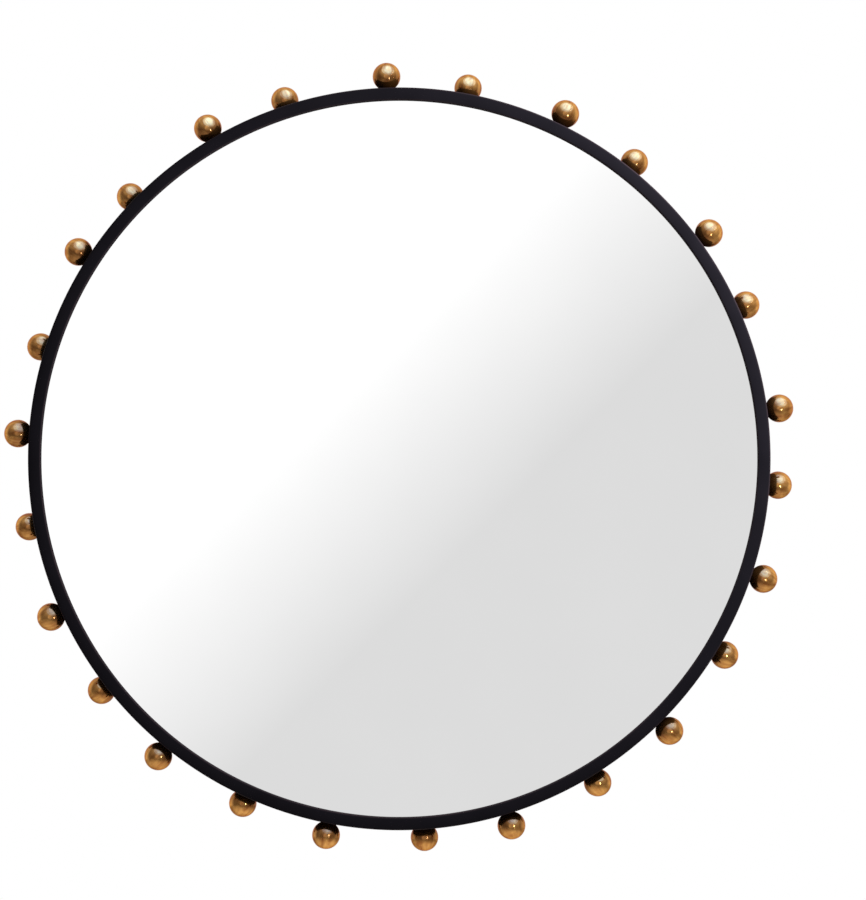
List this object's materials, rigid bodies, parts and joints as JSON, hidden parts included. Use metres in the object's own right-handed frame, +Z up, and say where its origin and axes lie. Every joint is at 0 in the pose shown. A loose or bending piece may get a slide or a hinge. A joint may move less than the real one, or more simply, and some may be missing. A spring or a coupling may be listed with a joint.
{
  "type": "round wall mirror",
  "caption": "Round wall mirror: flat glass in a deep satin black metal hoop with a narrow crowned rim, staggered rows of brass balls round the edge, and D-rings to hang it.",
  "frame": {"origin": "centre of the hoop's rear edge, on the wall", "axes": "+Y into the wall, so the glass faces -Y; +Z up; +X to the right of a person looking at the glass"},
  "size_m": [0.811, 0.0762, 0.8118],
  "materials": {
    "satin_black": "satin",
    "brass": "aged polish",
    "looking_glass": "polished",
    "board": "raw fibreboard",
    "foam": "matt",
    "black_rubber": "matt",
    "zinc_steel": "zinc plated"
  },
  "bodies": {
    "frame": {"outer_band": "satin_black", "face_ring": "satin_black", "glass_gasket": "foam", "mirror_glass": "looking_glass", "backing_board": "board", "board_screws": "zinc_steel", "hanger_rivets": "zinc_steel", "front_ball_screws": "zinc_steel", "rear_ball_screws": "zinc_steel", "front_ball_washers": "zinc_steel", "rear_ball_washers": "zinc_steel", "front_ball_01": "brass", "front_ball_02": "brass", "front_ball_03": "brass", "front_ball_04": "brass", "front_ball_05": "brass", "front_ball_06": "brass", "front_ball_07": "brass", "front_ball_08": "brass", "front_ball_09": "brass", "front_ball_10": "brass", "front_ball_11": "brass", "front_ball_12": "brass", "front_ball_13": "brass", "rear_ball_01": "brass", "rear_ball_02": "brass", "rear_ball_03": "brass", "rear_ball_04": "brass", "rear_ball_05": "brass", "rear_ball_06": "brass", "rear_ball_07": "brass", "rear_ball_08": "brass", "rear_ball_09": "brass", "rear_ball_10": "brass", "rear_ball_11": "brass", "rear_ball_12": "brass", "rear_ball_13": "brass", "board_bracket_1": "satin_black", "board_bracket_2": "satin_black", "board_bracket_3": "satin_black", "board_bracket_4": "satin_black", "board_bracket_5": "satin_black", "board_bracket_6": "satin_black", "board_bracket_7": "satin_black", "setting_block_left": "black_rubber", "hanger_tab_left": "satin_black", "hanger_strap_left": "zinc_steel", "setting_block_right": "black_rubber", "hanger_tab_right": "satin_black", "hanger_strap_right": "zinc_steel"},
    "ring_left": {"hanger_ring_left": "zinc_steel"},
    "ring_right": {"hanger_ring_right": "zinc_steel"}
  },
  "joints": [
    {"name": "ring_left_swing", "type": "hinge", "parent": "frame", "child": "ring_left", "pos_m": [-0.2, -0.00705, 0.28092], "axis": [1, 0, 0], "range_deg": [0, 180]},
    {"name": "ring_right_swing", "type": "hinge", "parent": "frame", "child": "ring_right", "pos_m": [0.2, -0.00705, 0.28092], "axis": [1, 0, 0], "range_deg": [0, 180]}
  ]
}
